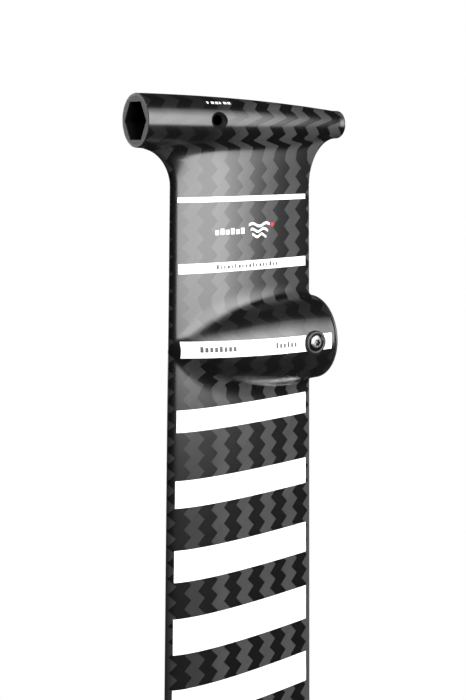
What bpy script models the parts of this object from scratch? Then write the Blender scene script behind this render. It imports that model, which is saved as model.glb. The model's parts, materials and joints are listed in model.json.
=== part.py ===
"""Carbon hydrofoil mast: a blade with a motor pod, moulded in two half shells, under a fuselage tube,
with the spar, cores, sockets, screws and base plate that they hold.

Frame, in metres: +Z runs up the mast from the board plate to the fuselage tube, +X runs aft from the
leading edge to the trailing edge, and the origin is the centre of the base plate's board face.
"""

import math

import bmesh
import bpy
from mathutils import Matrix

GAP = 0.0003  # between pieces that touch
OVERRUN = 0.002  # how far a cutter goes past what it cuts

# Blade
FUSELAGE_Z = 0.790
HALF_CHORD_TOP = 0.0524
CHORD_TAPER = 0.0177
THICKNESS_RATIO = 0.133
TRAILING_HALF = 0.0005
BLADE_BASE_Z = 0.0093
BLADE_TOP_Z = 0.783
FOOT_FILLET = 0.012
FRONT_FILLET = (0.7507, 0.0223, 0.0233)  # start height, reach forward, reach upward
REAR_FILLET = (0.7490, 0.0226, 0.0310)
SKIN = 0.0020

# Fuselage tube
TUBE_FRONT_X = -0.0766
TUBE_REAR_X = 0.0759
TUBE_FRONT_R = 0.01597
TUBE_TAPER = 0.0071
TUBE_TAPER_END = 0.97
TUBE_TAPER_POWER = 2.2
TUBE_AXIS_DROP = 0.0012
TUBE_SKIN = 0.0015

# Hexagonal socket, tail socket and the countersunk holes through the tube
HEX_ACROSS_FLATS = 0.0222
HEX_DEPTH_X = -0.0140
HEX_SLEEVE_REAR_X = -0.0100
TAIL_SLEEVE_X = 0.0450
TAIL_BORE_R = 0.0048
TAIL_BORE_X = 0.0520
BOLT_HOLE_X = -0.0268
BOLT_HOLE_Z = 0.7905
BOLT_HOLE_R = 0.0033
COUNTERSINK_R = 0.0060

# Motor pod
POD_Z = 0.650
POD_R = 0.0277
POD_NOSE_X = -0.0552
POD_FULL_X = 0.0300
POD_NOSE_POWER = 0.8
POD_SHELL_REAR_X = 0.0549
POD_REAR_X = 0.0575
POD_SKIN = 0.0022
BULKHEAD_X = (-0.0185, -0.0160)

# Cap in the pod's rear end, and the screws that hold it
CAP_FRONT_X = 0.0310
CAP_BORE_R = 0.0180
CAP_EDGE = 0.0010
CAP_WEB_X = 0.0485
SEAL_X = 0.0500
SEAL_R = 0.0010
SEAL_SQUEEZE = 0.9
SCREW_X = 0.0385
SCREW_Z = 0.651
SCREW_HEAD_R = 0.0053
SCREW_HEAD_HEIGHT = 0.0030
SCREW_RIM = 0.0008
SCREW_SHANK_R = 0.0029
SCREW_KEY = (0.0021, 0.0020)  # radius over its corners, depth
CUP_R = 0.0076
CUP_SEAT_DEPTH = 0.0012
CUP_BASE_DEPTH = 0.0009
CUP_FLOOR = 0.0007
CUP_PROUD = 0.0012
INSERT_R = 0.0045

# Spar, cores and cable conduit
FRONT_WEB_X = (-0.0340, -0.0320)
REAR_WEB_X = (-0.0220, -0.0200)
CORE_BASE_Z = 0.0460
CORE_TOP_Z = 0.7720
CONDUIT_X = -0.0080
CONDUIT_R = 0.0045
CONDUIT_BORE_R = 0.0035
CONDUIT_BASE_Z = 0.0012
CONDUIT_TOP_Z = 0.6400
GLAND_R = 0.0070
GLAND_HEIGHT = 0.0070
TRAILING_CORE_X = 0.0010
POD_CORE_MARGIN = 0.006
SPAR_HALF_WIDTH = 0.0056

# Base plate and foot
PLATE_SIZE = (0.200, 0.116, 0.008)
PLATE_CORNER_R = 0.020
SLOT_SPACING = (0.165, 0.090)
SLOT_R = 0.0043
SLOT_LENGTH = 0.0200
PLATE_EDGE = 0.002
GROMMET_R = 0.0067
GROMMET_BASE_Z = 0.0006
FOOT_BOLT_X = {"front": -0.0480, "middle": -0.0280, "rear": 0.0100}
FOOT_BOLT_R = 0.0030
FOOT_BOLT_Z = (0.0004, 0.0300)
FOOT_HEAD_R = 0.0060
FOOT_BOLT_KEY = (0.0023, 0.0022)
FOOT_BLOCK_X = (-0.0560, 0.0300)
FOOT_BLOCK_TOP_Z = 0.0450

AXIS_X = Matrix.Rotation(math.pi / 2, 4, "Y")
AXIS_RIGHT = Matrix.Rotation(math.pi / 2, 4, "X")
AXIS_LEFT = Matrix.Rotation(-math.pi / 2, 4, "X")
SIDES = ("right", "left")


# Scene and mesh helpers


def clear_scene():
    for obj in list(bpy.data.objects):
        bpy.data.objects.remove(obj, do_unlink=True)


def collection(name):
    made = bpy.data.collections.new(name)
    bpy.context.scene.collection.children.link(made)
    return made


clear_scene()
PARTS = collection("hydrofoil_mast")
CUTTERS = collection("cutters")


def mesh_object(name, bm, matrix=None, helper=False):
    """Puts a bmesh into the scene as a part, or as a hidden helper that other parts are cut with."""
    if matrix is not None:
        bmesh.ops.transform(bm, matrix=matrix, verts=bm.verts)
    bmesh.ops.remove_doubles(bm, verts=bm.verts, dist=1e-7)
    bmesh.ops.recalc_face_normals(bm, faces=bm.faces)
    mesh = bpy.data.meshes.new(name)
    bm.to_mesh(mesh)
    bm.free()
    mesh.shade_smooth()
    mesh.set_sharp_from_angle(angle=math.radians(32))
    obj = bpy.data.objects.new(name, mesh)
    (CUTTERS if helper else PARTS).objects.link(obj)
    if helper:
        obj.hide_render = True
        obj.display_type = "WIRE"
    return obj


def box(name, low, high, helper=False):
    bm = bmesh.new()
    bmesh.ops.create_cube(bm, size=1.0)
    size = [b - a for a, b in zip(low, high)]
    middle = [(a + b) / 2 for a, b in zip(low, high)]
    bmesh.ops.scale(bm, vec=size, verts=bm.verts)
    bmesh.ops.translate(bm, vec=middle, verts=bm.verts)
    return mesh_object(name, bm, helper=helper)


def cylinder(name, radius, low, high, matrix=None, segments=32, helper=False):
    """A cylinder, or a prism, along Z from low to high, then placed by a matrix."""
    bm = bmesh.new()
    bmesh.ops.create_cone(
        bm, cap_ends=True, segments=segments, radius1=radius, radius2=radius, depth=high - low
    )
    bmesh.ops.translate(bm, vec=(0, 0, (low + high) / 2), verts=bm.verts)
    return mesh_object(name, bm, matrix, helper)


def turned(name, profile, matrix=None, segments=32, helper=False):
    """Turns a closed (radius, height) profile about Z with a Screw modifier, then places it."""
    mesh = bpy.data.meshes.new(name + "_profile")
    points = [(radius, 0, height) for radius, height in profile]
    edges = [(i, (i + 1) % len(points)) for i in range(len(points))]
    if profile[0][0] == 0 and profile[-1][0] == 0:
        edges.pop()
    mesh.from_pydata(points, edges, [])
    profile_object = bpy.data.objects.new(name + "_profile", mesh)
    CUTTERS.objects.link(profile_object)
    screw = profile_object.modifiers.new("Turn", "SCREW")
    screw.steps = screw.render_steps = segments
    screw.use_merge_vertices = True
    screw.merge_threshold = 1e-6
    graph = bpy.context.evaluated_depsgraph_get()
    bm = bmesh.new()
    bm.from_mesh(profile_object.evaluated_get(graph).data)
    bpy.data.objects.remove(profile_object, do_unlink=True)
    return mesh_object(name, bm, matrix, helper)


def loft(name, rings, helper=False):
    """A closed solid through rings that have the same number of points, with flat ends."""
    bm = bmesh.new()
    loops = [[bm.verts.new(point) for point in ring] for ring in rings]
    for near, far in zip(loops, loops[1:]):
        for i in range(len(near)):
            j = (i + 1) % len(near)
            bm.faces.new((near[i], near[j], far[j], far[i]))
    bm.faces.new(loops[0])
    bm.faces.new(loops[-1])
    return mesh_object(name, bm, helper=helper)


def boolean(obj, other, operation):
    modifier = obj.modifiers.new(other.name, "BOOLEAN")
    modifier.operation = operation
    modifier.object = other
    modifier.solver = "EXACT"


def cut(obj, *cutters):
    for cutter in cutters:
        boolean(obj, cutter, "DIFFERENCE")


def join(obj, *others):
    for other in others:
        boolean(obj, other, "UNION")


def keep_inside(obj, *others):
    for other in others:
        boolean(obj, other, "INTERSECT")


def paint(obj, name, colour, roughness, metallic=0.0):
    """Gives a part its material. Parts of the same stuff share one."""
    material = bpy.data.materials.get(name) or bpy.data.materials.new(name)
    material.use_nodes = True
    shader = material.node_tree.nodes["Principled BSDF"]
    shader.inputs["Base Color"].default_value = (*colour, 1.0)
    shader.inputs["Roughness"].default_value = roughness
    shader.inputs["Metallic"].default_value = metallic
    obj.data.materials.append(material)


def carbon(obj):
    paint(obj, "woven_carbon", (0.018, 0.018, 0.020), 0.28)


def raw_carbon(obj):
    paint(obj, "cut_carbon", (0.035, 0.035, 0.037), 0.55)


def foam(obj):
    paint(obj, "core_foam", (0.62, 0.50, 0.34), 0.90)


def aluminium(obj):
    paint(obj, "anodised_aluminium", (0.045, 0.045, 0.050), 0.35, 1.0)


def steel(obj):
    paint(obj, "stainless_steel", (0.72, 0.72, 0.70), 0.16, 1.0)


def rubber(obj):
    paint(obj, "black_rubber", (0.012, 0.012, 0.012), 0.70)


def nylon(obj):
    paint(obj, "black_nylon", (0.020, 0.020, 0.021), 0.45)


# Shapes that the whole mast is measured from


def ellipse_flare(distance, reach, height):
    """How far a concave quarter ellipse has spread, at a distance along the height it takes."""
    share = min(max(distance / height, 0.0), 1.0)
    return reach * (1 - math.sqrt(1 - share * share))


def half_chord(z):
    return HALF_CHORD_TOP + CHORD_TAPER * (FUSELAGE_Z - z)


def foot_flare(z):
    return ellipse_flare(BLADE_BASE_Z + FOOT_FILLET - z, FOOT_FILLET, FOOT_FILLET)


def leading_x(z):
    start, reach, height = FRONT_FILLET
    return -half_chord(z) - ellipse_flare(z - start, reach, height) - foot_flare(z)


def trailing_x(z):
    start, reach, height = REAR_FILLET
    return half_chord(z) + ellipse_flare(z - start, reach, height) + foot_flare(z)


def blade_half(x, z):
    """Half thickness of the blade: a symmetrical section with a blunt nose and a thin trailing edge."""
    share = (x - leading_x(z)) / (trailing_x(z) - leading_x(z))
    share = min(max(share, 0.0), 1.0)
    curve = 0.2969 * math.sqrt(share) - 0.1260 * share - 0.3516 * share**2
    curve += 0.2843 * share**3 - 0.1036 * share**4
    thickness = 2 * half_chord(z) * THICKNESS_RATIO
    edge = TRAILING_HALF * share
    return 5 * thickness * curve + edge + foot_flare(z) * math.sqrt(math.sin(math.pi * share))


def blade_ring(z, inset=0.0, front=None, rear=None, points=15):
    """One section of the blade at height z, moved in by an inset and trimmed fore and aft."""
    first = leading_x(z) + 1.5 * inset if front is None else front
    last = trailing_x(z) - 8.0 * inset if rear is None else rear
    steps = [(1 - math.cos(math.pi * i / (points - 1))) / 2 for i in range(points)]
    places = [first + (last - first) * step for step in steps]
    thinnest = GAP if inset else 0.0
    half = [(x, max(blade_half(x, z) - inset, thinnest)) for x in places]
    upper = [(x, y, z) for x, y in half]
    lower = [(x, -y, z) for x, y in reversed(half)]
    if half[0][1] < 1e-6:
        lower.pop()
    return upper + lower


def blade_heights(low, high):
    """Section heights: close together in the two flares, and only the ends of the straight run."""
    foot = [BLADE_BASE_Z + FOOT_FILLET * (1 - math.cos(i * math.pi / 10)) for i in range(6)]
    start, _, height = REAR_FILLET
    top = [start + height * math.sin(i * math.pi / 14) for i in range(7)]
    inner = [z for z in foot + [0.25, 0.5] + top if low + 0.001 < z < high - 0.001]
    return [low] + inner + [high]


def blade_form(name, low, high, inset=0.0, front=None, rear=None, points=15, helper=False):
    heights = blade_heights(low, high)
    rings = [blade_ring(z, inset, front, rear, points) for z in heights]
    return loft(name, rings, helper)


def tube_radius(x):
    share = (x - TUBE_FRONT_X) / (TUBE_REAR_X - TUBE_FRONT_X)
    share = min(max(share / TUBE_TAPER_END, 0.0), 1.0)
    return TUBE_FRONT_R - TUBE_TAPER * share**TUBE_TAPER_POWER


def tube_axis(x):
    return FUSELAGE_Z - TUBE_AXIS_DROP * (x - TUBE_FRONT_X) / (TUBE_REAR_X - TUBE_FRONT_X)


def tube_form(name, low, high, inset=0.0, stations=12, segments=32, helper=False):
    rings = []
    for k in range(stations):
        x = low + (high - low) * k / (stations - 1)
        radius = tube_radius(x) - inset
        turns = [2 * math.pi * i / segments for i in range(segments)]
        rings.append(
            [(x, radius * math.cos(a), tube_axis(x) + radius * math.sin(a)) for a in turns]
        )
    return loft(name, rings, helper)


def pod_radius(x):
    share = max(POD_FULL_X - x, 0.0) / (POD_FULL_X - POD_NOSE_X)
    return POD_R * max(1 - share * share, 0.0) ** POD_NOSE_POWER


def pod_form(name, high, inset=0.0, stations=14, segments=32, helper=False):
    """The pod as a turned body about its own axis, from a height on it to its rear end."""
    full = min(POD_FULL_X, high)
    run = [POD_NOSE_X + (full - POD_NOSE_X) * (k / (stations - 1)) ** 2 for k in range(stations)]
    profile = [(pod_radius(x) - inset, x) for x in run if pod_radius(x) - inset > 0.0001]
    profile = [(0, profile[0][1])] + profile + [(0, high)]
    if high > full:
        profile.insert(-1, (POD_R - inset, high))
    place = Matrix.Translation((0, 0, POD_Z)) @ AXIS_X
    return turned(name, profile, place, segments, helper)


def sideways(side, x, z):
    """Places a piece that was drawn along +Z so that it points out of the given side of the mast."""
    return Matrix.Translation((x, 0, z)) @ (AXIS_RIGHT if side == "right" else AXIS_LEFT)


# Helpers that several parts are cut with


def tube_cutter(name, inset):
    return tube_form(name, TUBE_FRONT_X - OVERRUN, TUBE_REAR_X + OVERRUN, inset, helper=True)


tube_inside = tube_cutter("tube_inside", TUBE_SKIN)
tube_clearance = tube_cutter("tube_clearance", -GAP)
blade_inside = blade_form("blade_inside", 0.0, BLADE_TOP_Z + OVERRUN, SKIN, helper=True)
pod_outside = pod_form("pod_outside", POD_REAR_X, helper=True)
pod_inside = pod_form("pod_inside", POD_REAR_X + OVERRUN, POD_SKIN, helper=True)
cap_clearance = cylinder(
    "cap_clearance",
    POD_R + GAP,
    POD_SHELL_REAR_X,
    POD_REAR_X + OVERRUN,
    Matrix.Translation((0, 0, POD_Z)) @ AXIS_X,
    helper=True,
)


def countersunk_cutter(side):
    """A bolt hole into the hexagonal socket, with the seat of a countersunk head at the skin."""
    skin_y = tube_radius(BOLT_HOLE_X)
    seat_y = skin_y - (COUNTERSINK_R - BOLT_HOLE_R)
    profile = [
        (0, skin_y + OVERRUN),
        (COUNTERSINK_R + OVERRUN, skin_y + OVERRUN),
        (BOLT_HOLE_R, seat_y),
        (BOLT_HOLE_R, HEX_ACROSS_FLATS / 4),
        (0, HEX_ACROSS_FLATS / 4),
    ]
    place = sideways(side, BOLT_HOLE_X, BOLT_HOLE_Z)
    return turned(f"countersink_{side}", profile, place, 24, True)


def cup_cutter(side):
    """The round seat of a cup ring and the clearance hole of its screw, through the pod's skin."""
    profile = [
        (0, POD_R + OVERRUN),
        (CUP_R + GAP, POD_R + OVERRUN),
        (CUP_R + GAP, POD_R - CUP_SEAT_DEPTH),
        (SCREW_SHANK_R + GAP, POD_R - CUP_SEAT_DEPTH),
        (SCREW_SHANK_R + GAP, CAP_BORE_R),
        (0, CAP_BORE_R),
    ]
    return turned(f"cup_seat_{side}", profile, sideways(side, SCREW_X, SCREW_Z), 24, True)


countersinks = {side: countersunk_cutter(side) for side in SIDES}
cup_seats = {side: cup_cutter(side) for side in SIDES}


# The carbon skin: two half shells, which meet at the plane of symmetry, and the tube on top of them


def half_shell(side):
    shell = blade_form(f"{side}_half_shell", BLADE_BASE_Z, BLADE_TOP_Z, points=19)
    join(shell, pod_outside)
    reach = PLATE_SIZE[0]
    low, high = (-GAP / 2, reach) if side == "right" else (-reach, GAP / 2)
    half_space = box(f"beyond_{side}", (-reach, low, 0), (reach, high, FUSELAGE_Z + OVERRUN), True)
    cut(shell, half_space, cap_clearance, blade_inside, pod_inside, tube_clearance, cup_seats[side])
    carbon(shell)


def fuselage_tube():
    tube = tube_form("fuselage_tube", TUBE_FRONT_X, TUBE_REAR_X)
    cut(tube, tube_inside, *countersinks.values())
    carbon(tube)


# Inside the blade


def inner_strip(name, low, high, front=None, rear=None, extra=0.0, points=7):
    """A strip of the blade's inside, from skin to skin, between two places along the chord."""
    inset = SKIN + GAP + extra
    return blade_form(name, low, high, inset, front, rear, points)


def blade_core():
    foam(inner_strip("leading_edge_core", CORE_BASE_Z, CORE_TOP_Z, rear=FRONT_WEB_X[0] - GAP))
    front, rear = FRONT_WEB_X[1] + GAP, REAR_WEB_X[0] - GAP
    foam(inner_strip("spar_core", CORE_BASE_Z, CORE_TOP_Z, front, rear, points=4))
    lower_top = POD_Z - POD_R - POD_CORE_MARGIN
    upper_base = POD_Z + POD_R + POD_CORE_MARGIN
    lower = inner_strip("lower_trailing_core", CORE_BASE_Z, lower_top, front=TRAILING_CORE_X)
    upper = inner_strip("upper_trailing_core", upper_base, CORE_TOP_Z, front=TRAILING_CORE_X)
    foam(lower)
    foam(upper)


def spar_webs():
    for name, (front, rear) in (("front_spar_web", FRONT_WEB_X), ("rear_spar_web", REAR_WEB_X)):
        raw_carbon(inner_strip(name, CORE_BASE_Z, CORE_TOP_Z, front, rear, points=2))


def cable_conduit():
    profile = [
        (CONDUIT_BORE_R, CONDUIT_TOP_Z),
        (CONDUIT_R, CONDUIT_TOP_Z),
        (CONDUIT_R, CONDUIT_BASE_Z),
        (CONDUIT_BORE_R, CONDUIT_BASE_Z),
    ]
    nylon(turned("cable_conduit", profile, Matrix.Translation((CONDUIT_X, 0, 0)), 20))


def conduit_gland_nut():
    """The hexagonal nut that seals the conduit's end inside the pod."""
    high = CONDUIT_TOP_Z - 0.001
    low = high - GLAND_HEIGHT
    place = Matrix.Translation((CONDUIT_X, 0, 0))
    nut = cylinder("conduit_gland_nut", GLAND_R, low, high, place, 6)
    bore = cylinder(
        "gland_bore", CONDUIT_R + GAP, low - OVERRUN, high + OVERRUN, place, 20, True
    )
    cut(nut, bore)
    nylon(nut)


# Inside the fuselage tube


def hex_socket_sleeve():
    rear = HEX_SLEEVE_REAR_X
    sleeve = tube_form("hex_socket_sleeve", TUBE_FRONT_X, rear, TUBE_SKIN + GAP, 5)
    across_corners = HEX_ACROSS_FLATS / math.cos(math.pi / 6)
    # The prism's corners point to the sides of the mast, so its flats are at the top and bottom.
    middle = tube_axis((TUBE_FRONT_X + HEX_DEPTH_X) / 2)
    place = Matrix.Translation((0, 0, middle)) @ AXIS_X
    hexagon = cylinder(
        "hexagon", across_corners / 2, TUBE_FRONT_X - OVERRUN, HEX_DEPTH_X, place, 6, True
    )
    cut(sleeve, hexagon, *countersinks.values())
    raw_carbon(sleeve)


def tail_socket_sleeve():
    sleeve = tube_form("tail_socket_sleeve", TAIL_SLEEVE_X, TUBE_REAR_X, TUBE_SKIN + GAP, 5)
    place = Matrix.Translation((0, 0, tube_axis(TUBE_REAR_X))) @ AXIS_X
    bore = cylinder("tail_bore", TAIL_BORE_R, TAIL_BORE_X, TUBE_REAR_X + OVERRUN, place, 24, True)
    cut(sleeve, bore)
    aluminium(sleeve)


def fuselage_core():
    front, rear = HEX_SLEEVE_REAR_X + GAP, TAIL_SLEEVE_X - GAP
    foam(tube_form("fuselage_core", front, rear, TUBE_SKIN + GAP, 6, 24))


# Inside the pod, and its rear cap


def pod_bulkhead():
    front, rear = BULKHEAD_X
    radius = pod_radius(front) - POD_SKIN - GAP
    place = Matrix.Translation((0, 0, POD_Z)) @ AXIS_X
    raw_carbon(cylinder("pod_bulkhead", radius, front, rear, place))


def pod_nose_filler(side):
    """Foam between the spar and the pod's skin, in front of the bulkhead."""
    filler = pod_form(f"pod_nose_filler_{side}", BULKHEAD_X[0] - GAP, POD_SKIN + GAP, stations=9)
    near, far = SPAR_HALF_WIDTH, 2 * POD_R
    low, high = (-far, -near) if side == "right" else (near, far)
    front, rear = POD_NOSE_X, BULKHEAD_X[0] - GAP
    room = box(f"nose_room_{side}", (front, low, POD_Z - far), (rear, high, POD_Z + far), True)
    keep_inside(filler, room)
    foam(filler)


def pod_end_cap():
    """A plug with a flange as wide as the pod, a seal groove, and a hollow front."""
    spigot = POD_R - POD_SKIN - GAP
    groove = spigot - 2 * SEAL_R
    flange_x = POD_SHELL_REAR_X + GAP
    profile = [
        (0, POD_REAR_X),
        (POD_R - CAP_EDGE, POD_REAR_X),
        (POD_R - 0.3 * CAP_EDGE, POD_REAR_X - 0.3 * CAP_EDGE),
        (POD_R, POD_REAR_X - CAP_EDGE),
        (POD_R, flange_x),
        (spigot, flange_x),
        (spigot, SEAL_X + SEAL_R + GAP),
        (groove, SEAL_X + SEAL_R + GAP),
        (groove, SEAL_X - SEAL_R - GAP),
        (spigot, SEAL_X - SEAL_R - GAP),
        (spigot, CAP_FRONT_X),
        (CAP_BORE_R, CAP_FRONT_X),
        (CAP_BORE_R, CAP_WEB_X),
        (0, CAP_WEB_X),
    ]
    cap = turned("pod_end_cap", profile, Matrix.Translation((0, 0, POD_Z)) @ AXIS_X, 36)
    for side in SIDES:
        place = sideways(side, SCREW_X, SCREW_Z)
        low, high = CAP_BORE_R - 4 * OVERRUN, POD_R + OVERRUN
        cut(cap, cylinder(f"insert_hole_{side}", INSERT_R + GAP, low, high, place, 24, True))
    aluminium(cap)


def end_cap_seal():
    """A round rubber ring in the cap's groove: a circle turned about the pod's axis."""
    middle = POD_R - POD_SKIN - GAP - SEAL_R
    section = SEAL_SQUEEZE * SEAL_R
    turns = [-math.pi * i / 3 for i in range(6)]
    profile = [(middle + section * math.cos(a), section * math.sin(a)) for a in turns]
    rubber(turned("end_cap_seal", profile, Matrix.Translation((SEAL_X, 0, POD_Z)) @ AXIS_X))


def screw_insert(side):
    spigot = POD_R - POD_SKIN - GAP
    low, high = CAP_BORE_R + 2 * GAP, spigot - 3 * GAP
    profile = [
        (SCREW_SHANK_R + GAP, high),
        (INSERT_R, high),
        (INSERT_R, low),
        (SCREW_SHANK_R + GAP, low),
    ]
    steel(turned(f"screw_insert_{side}", profile, sideways(side, SCREW_X, SCREW_Z), 24))


def screw_cup(side):
    """The black cup washer that the screw's head sits in, proud of the pod's skin."""
    low, high = POD_R - CUP_BASE_DEPTH, POD_R + CUP_PROUD
    profile = [
        (SCREW_HEAD_R + GAP, high - GAP),
        (SCREW_HEAD_R + 2 * GAP, high),
        (CUP_R - 3 * GAP, high),
        (CUP_R, high - 3 * GAP),
        (CUP_R, low),
        (SCREW_SHANK_R + GAP, low),
        (SCREW_SHANK_R + GAP, low + CUP_FLOOR),
        (SCREW_HEAD_R + GAP, low + CUP_FLOOR),
    ]
    nylon(turned(f"screw_cup_{side}", profile, sideways(side, SCREW_X, SCREW_Z), 24))


def pod_screw(side):
    """A button-head screw with a hexagonal recess, drawn along Z with its head up."""
    seat = POD_R - CUP_BASE_DEPTH + CUP_FLOOR + GAP
    top = seat + SCREW_HEAD_HEIGHT
    turns = [i * math.pi / 12 for i in range(4, -1, -1)]
    rise = SCREW_HEAD_HEIGHT - SCREW_RIM
    dome = [(SCREW_HEAD_R * math.cos(a), seat + SCREW_RIM + rise * math.sin(a)) for a in turns]
    end = CAP_BORE_R + 4 * GAP
    profile = [(0, top), (SCREW_KEY[0] + GAP / 3, top)]
    profile += dome
    profile += [(SCREW_HEAD_R, seat), (SCREW_SHANK_R, seat), (SCREW_SHANK_R, end), (0, end)]
    place = sideways(side, SCREW_X, SCREW_Z)
    screw = turned(f"pod_screw_{side}", profile, place, 24)
    radius, depth = SCREW_KEY
    cut(screw, cylinder(f"screw_key_{side}", radius, top - depth, top + OVERRUN, place, 6, True))
    steel(screw)


# Base plate and what fastens it


def slot_cutter(name, x, y):
    """A round-ended slot through the plate: half a circle about each end, extruded upward."""
    bm = bmesh.new()
    straight = SLOT_LENGTH / 2 - SLOT_R
    ring = []
    for end in (1, -1):
        for i in range(9):
            turn = math.pi / 2 - math.pi * i / 8
            across, along = end * SLOT_R * math.cos(turn), end * SLOT_R * math.sin(turn)
            ring.append((x + end * straight + across, y + along, -OVERRUN))
    face = bm.faces.new([bm.verts.new(point) for point in ring])
    made = bmesh.ops.extrude_face_region(bm, geom=[face])
    top = [item for item in made["geom"] if isinstance(item, bmesh.types.BMVert)]
    bmesh.ops.translate(bm, vec=(0, 0, PLATE_SIZE[2] + 2 * OVERRUN), verts=top)
    return mesh_object(name, bm, helper=True)


def countersunk(radius, head_radius, low, high):
    """A countersunk bolt's profile along Z, with its head's flat face at the low end."""
    cone = head_radius - radius
    return [
        (0, high),
        (radius, high),
        (radius, low + cone),
        (head_radius, low),
        (0, low),
    ]


def foot_bolt_cutters():
    cutters = []
    for name, x in FOOT_BOLT_X.items():
        low, high = -GAP / 3, FOOT_BOLT_Z[1] + GAP
        profile = countersunk(FOOT_BOLT_R + GAP, FOOT_HEAD_R + 2 * GAP, low, high)
        place = Matrix.Translation((x, 0, 0))
        cutters.append(turned(f"foot_bolt_hole_{name}", profile, place, 24, True))
    return cutters


def conduit_hole(name, radius, high):
    """A round hole for the cable conduit, from below the plate to a height."""
    place = Matrix.Translation((CONDUIT_X, 0, 0))
    return cylinder(name, radius, -OVERRUN, high + OVERRUN, place, 24, True)


def base_plate(bolt_holes):
    length, width, height = PLATE_SIZE
    plate = box("base_plate", (-length / 2, -width / 2, 0), (length / 2, width / 2, height))
    bm = bmesh.new()
    bm.from_mesh(plate.data)
    upright = [e for e in bm.edges if abs(e.verts[0].co.z - e.verts[1].co.z) > height / 2]
    bmesh.ops.bevel(bm, geom=upright, offset=PLATE_CORNER_R, segments=5, affect="EDGES", profile=0.5)
    rim = [e for e in bm.edges if min(v.co.z for v in e.verts) > height - 1e-5]
    bmesh.ops.bevel(bm, geom=rim, offset=PLATE_EDGE, segments=2, affect="EDGES", profile=0.5)
    bm.to_mesh(plate.data)
    bm.free()
    for i in (-1, 1):
        for j in (-1, 1):
            x, y = i * SLOT_SPACING[0] / 2, j * SLOT_SPACING[1] / 2
            cut(plate, slot_cutter(f"slot_{i}_{j}", x, y))
    cut(plate, conduit_hole("grommet_hole", GROMMET_R + GAP, height), *bolt_holes)
    plate.data.shade_smooth()
    plate.data.set_sharp_from_angle(angle=math.radians(32))
    aluminium(plate)


def foot_gasket(bolt_holes):
    low, high = PLATE_SIZE[2] + GAP, BLADE_BASE_Z - GAP
    rings = [[(x, y, z) for x, y, _ in blade_ring(BLADE_BASE_Z, points=15)] for z in (low, high)]
    gasket = loft("foot_gasket", rings)
    cut(gasket, conduit_hole("gasket_hole", GROMMET_R + GAP, high), *bolt_holes)
    rubber(gasket)


def foot_insert_block(bolt_holes):
    inset = SKIN + GAP
    rings = []
    for z in (BLADE_BASE_Z, FOOT_BLOCK_TOP_Z):
        ring = blade_ring(FOOT_BLOCK_TOP_Z, inset, *FOOT_BLOCK_X, 9)
        rings.append([(x, y, z) for x, y, _ in ring])
    block = loft("foot_insert_block", rings)
    cut(block, conduit_hole("block_hole", CONDUIT_R + GAP, FOOT_BLOCK_TOP_Z), *bolt_holes)
    aluminium(block)


def foot_bolts():
    radius, depth = FOOT_BOLT_KEY
    low, high = FOOT_BOLT_Z
    for name, x in FOOT_BOLT_X.items():
        profile = countersunk(FOOT_BOLT_R, FOOT_HEAD_R, low, high)
        place = Matrix.Translation((x, 0, 0))
        bolt = turned(f"foot_bolt_{name}", profile, place, 24)
        cut(bolt, cylinder(f"bolt_key_{name}", radius, low - OVERRUN, low + depth, place, 6, True))
        steel(bolt)


def cable_exit_grommet():
    high = PLATE_SIZE[2] - GAP
    profile = [
        (CONDUIT_R + GAP, high),
        (GROMMET_R, high),
        (GROMMET_R, GROMMET_BASE_Z),
        (CONDUIT_R + GAP, GROMMET_BASE_Z),
    ]
    place = Matrix.Translation((CONDUIT_X, 0, 0))
    rubber(turned("cable_exit_grommet", profile, place, 24))


def build():
    for side in SIDES:
        half_shell(side)
        pod_nose_filler(side)
        screw_insert(side)
        screw_cup(side)
        pod_screw(side)
    blade_core()
    spar_webs()
    cable_conduit()
    conduit_gland_nut()
    fuselage_tube()
    hex_socket_sleeve()
    fuselage_core()
    tail_socket_sleeve()
    pod_bulkhead()
    pod_end_cap()
    end_cap_seal()
    bolt_holes = foot_bolt_cutters()
    base_plate(bolt_holes)
    foot_gasket(bolt_holes)
    foot_insert_block(bolt_holes)
    foot_bolts()
    cable_exit_grommet()


build()
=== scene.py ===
"""Looks of the carbon hydrofoil mast: lacquered skin, weave, printed bands, fittings and studio."""

import json
import math

import bmesh
import bpy
import numpy as np
from mathutils import Matrix, Vector


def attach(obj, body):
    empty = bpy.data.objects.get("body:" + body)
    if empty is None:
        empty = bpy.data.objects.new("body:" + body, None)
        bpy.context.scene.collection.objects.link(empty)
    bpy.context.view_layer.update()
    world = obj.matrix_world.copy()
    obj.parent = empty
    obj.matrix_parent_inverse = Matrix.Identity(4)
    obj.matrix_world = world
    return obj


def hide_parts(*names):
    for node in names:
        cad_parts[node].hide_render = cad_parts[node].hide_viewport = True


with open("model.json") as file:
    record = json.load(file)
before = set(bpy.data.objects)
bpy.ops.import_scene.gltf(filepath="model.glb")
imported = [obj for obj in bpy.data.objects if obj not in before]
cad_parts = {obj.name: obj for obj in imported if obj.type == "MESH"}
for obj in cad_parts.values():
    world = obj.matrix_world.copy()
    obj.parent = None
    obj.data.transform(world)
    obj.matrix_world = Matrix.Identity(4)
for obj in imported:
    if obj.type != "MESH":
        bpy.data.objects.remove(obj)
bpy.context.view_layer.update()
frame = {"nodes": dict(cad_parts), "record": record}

NODES = frame["nodes"]

# Sizes of the mast, in metres, as the CAD model has them

FUSELAGE_Z = 0.790
HALF_CHORD_TOP = 0.0524
CHORD_TAPER = 0.0177
THICKNESS_RATIO = 0.133
TRAILING_HALF = 0.0005
TRAILING_ROUND = 0.0007
BLADE_BASE_Z = 0.0093
BLADE_TOP_Z = 0.783
FOOT_FILLET = 0.012
FRONT_FILLET = (0.7507, 0.0223, 0.0233)
REAR_FILLET = (0.7490, 0.0226, 0.0310)

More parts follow.
